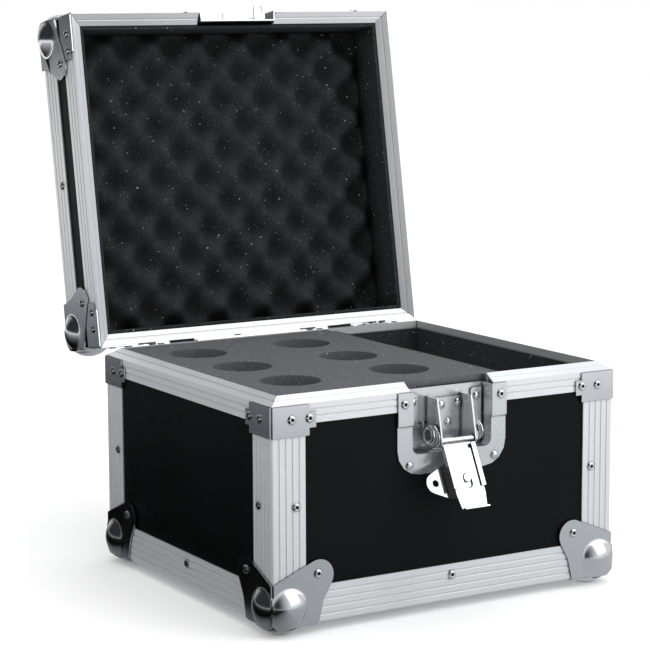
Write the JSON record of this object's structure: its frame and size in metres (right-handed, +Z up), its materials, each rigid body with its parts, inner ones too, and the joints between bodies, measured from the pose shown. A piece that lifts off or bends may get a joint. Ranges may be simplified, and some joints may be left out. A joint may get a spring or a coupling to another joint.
{
  "type": "microphone flight case",
  "caption": "Flight case with a hinged lid, foam wells for microphones, a side compartment, ball corners and a recessed butterfly latch.",
  "frame": {"origin": "on the floor, in the middle between the four ball corners that the case stands on", "axes": "+Z up, +X to the right as seen from the latch side, the latch side faces -Y, the lid opens towards +Y"},
  "size_m": [0.3464, 0.4659, 0.4892],
  "materials": {
    "black_laminate": "black laminate on plywood, satin",
    "ribbed_aluminium": "anodised, fine ribs",
    "plated_steel": "zinc plated",
    "bright_steel": "bright plated",
    "spring_wire": "plated spring wire",
    "grey_foam": "open-cell foam, matt",
    "black_foam": "open-cell foam, matt",
    "handle_rubber": "moulded, fine grain"
  },
  "bodies": {
    "base": {"bottom_panel": "black_laminate", "base_front_panel": "black_laminate", "base_back_panel": "black_laminate", "base_left_panel": "black_laminate", "base_right_panel": "black_laminate", "corner_angle_front_left": "ribbed_aluminium", "corner_angle_front_right": "ribbed_aluminium", "corner_angle_back_left": "ribbed_aluminium", "corner_angle_back_right": "ribbed_aluminium", "bottom_edge_front": "ribbed_aluminium", "bottom_edge_back": "ribbed_aluminium", "bottom_edge_left": "ribbed_aluminium", "bottom_edge_right": "ribbed_aluminium", "base_rim_front_left": "ribbed_aluminium", "base_rim_front_right": "ribbed_aluminium", "base_rim_back": "ribbed_aluminium", "base_rim_left": "ribbed_aluminium", "base_rim_right": "ribbed_aluminium", "ball_corner_front_left": "plated_steel", "ball_corner_front_right": "plated_steel", "ball_corner_back_left": "plated_steel", "ball_corner_back_right": "plated_steel", "rim_brace_front_left": "plated_steel", "rim_brace_front_right": "plated_steel", "rim_brace_back_left": "plated_steel", "rim_brace_back_right": "plated_steel", "latch_dish": "plated_steel", "latch_bracket": "bright_steel", "latch_spring": "spring_wire", "microphone_foam": "grey_foam", "divider_panel": "black_laminate", "hinge_base_left": "plated_steel", "hinge_base_right": "plated_steel"},
    "lid": {"lid_top_panel": "black_laminate", "lid_front_panel": "black_laminate", "lid_back_panel": "black_laminate", "lid_left_panel": "black_laminate", "lid_right_panel": "black_laminate", "lid_edge_front": "ribbed_aluminium", "lid_edge_back": "ribbed_aluminium", "lid_edge_left": "ribbed_aluminium", "lid_edge_right": "ribbed_aluminium", "lid_rim_front_left": "ribbed_aluminium", "lid_rim_front_right": "ribbed_aluminium", "lid_rim_back": "ribbed_aluminium", "lid_rim_left": "ribbed_aluminium", "lid_rim_right": "ribbed_aluminium", "lid_corner_front_left": "plated_steel", "lid_corner_front_right": "plated_steel", "lid_corner_back_left": "plated_steel", "lid_corner_back_right": "plated_steel", "keeper_dish": "plated_steel", "lid_lining": "black_foam", "egg_crate_foam": "black_foam", "hinge_lid_left": "plated_steel", "hinge_lid_right": "plated_steel", "carry_handle": "handle_rubber"},
    "latch_arm": {"latch_arm": "bright_steel"},
    "latch_hook": {"latch_hook": "bright_steel"},
    "butterfly": {"butterfly": "bright_steel"}
  },
  "joints": [
    {"name": "lid_hinge", "type": "hinge", "parent": "base", "child": "lid", "pos_m": [0, 0.1544, 0.1839], "axis": [1, 0, 0], "range_deg": [0, 99.8]},
    {"name": "latch_arm_hinge", "type": "hinge", "parent": "base", "child": "latch_arm", "pos_m": [0.0025, -0.1538, 0.1425], "axis": [-1, 0, 0], "range_deg": [0, 157.6]},
    {"name": "butterfly_turn", "type": "hinge", "parent": "latch_arm", "child": "butterfly", "pos_m": [0.0025, -0.16842, 0.11381], "axis": [0, -0.891, 0.454], "range_deg": [0, 180]},
    {"name": "hook_slide", "type": "slide", "parent": "latch_arm", "child": "latch_hook", "axis": [0, 0.454, 0.891], "range_m": [0, 0.005]}
  ],
  "couplings": [
    {"joint": "hook_slide", "follows": "butterfly_turn", "m_per_rad": 0.0015915}
  ]
}
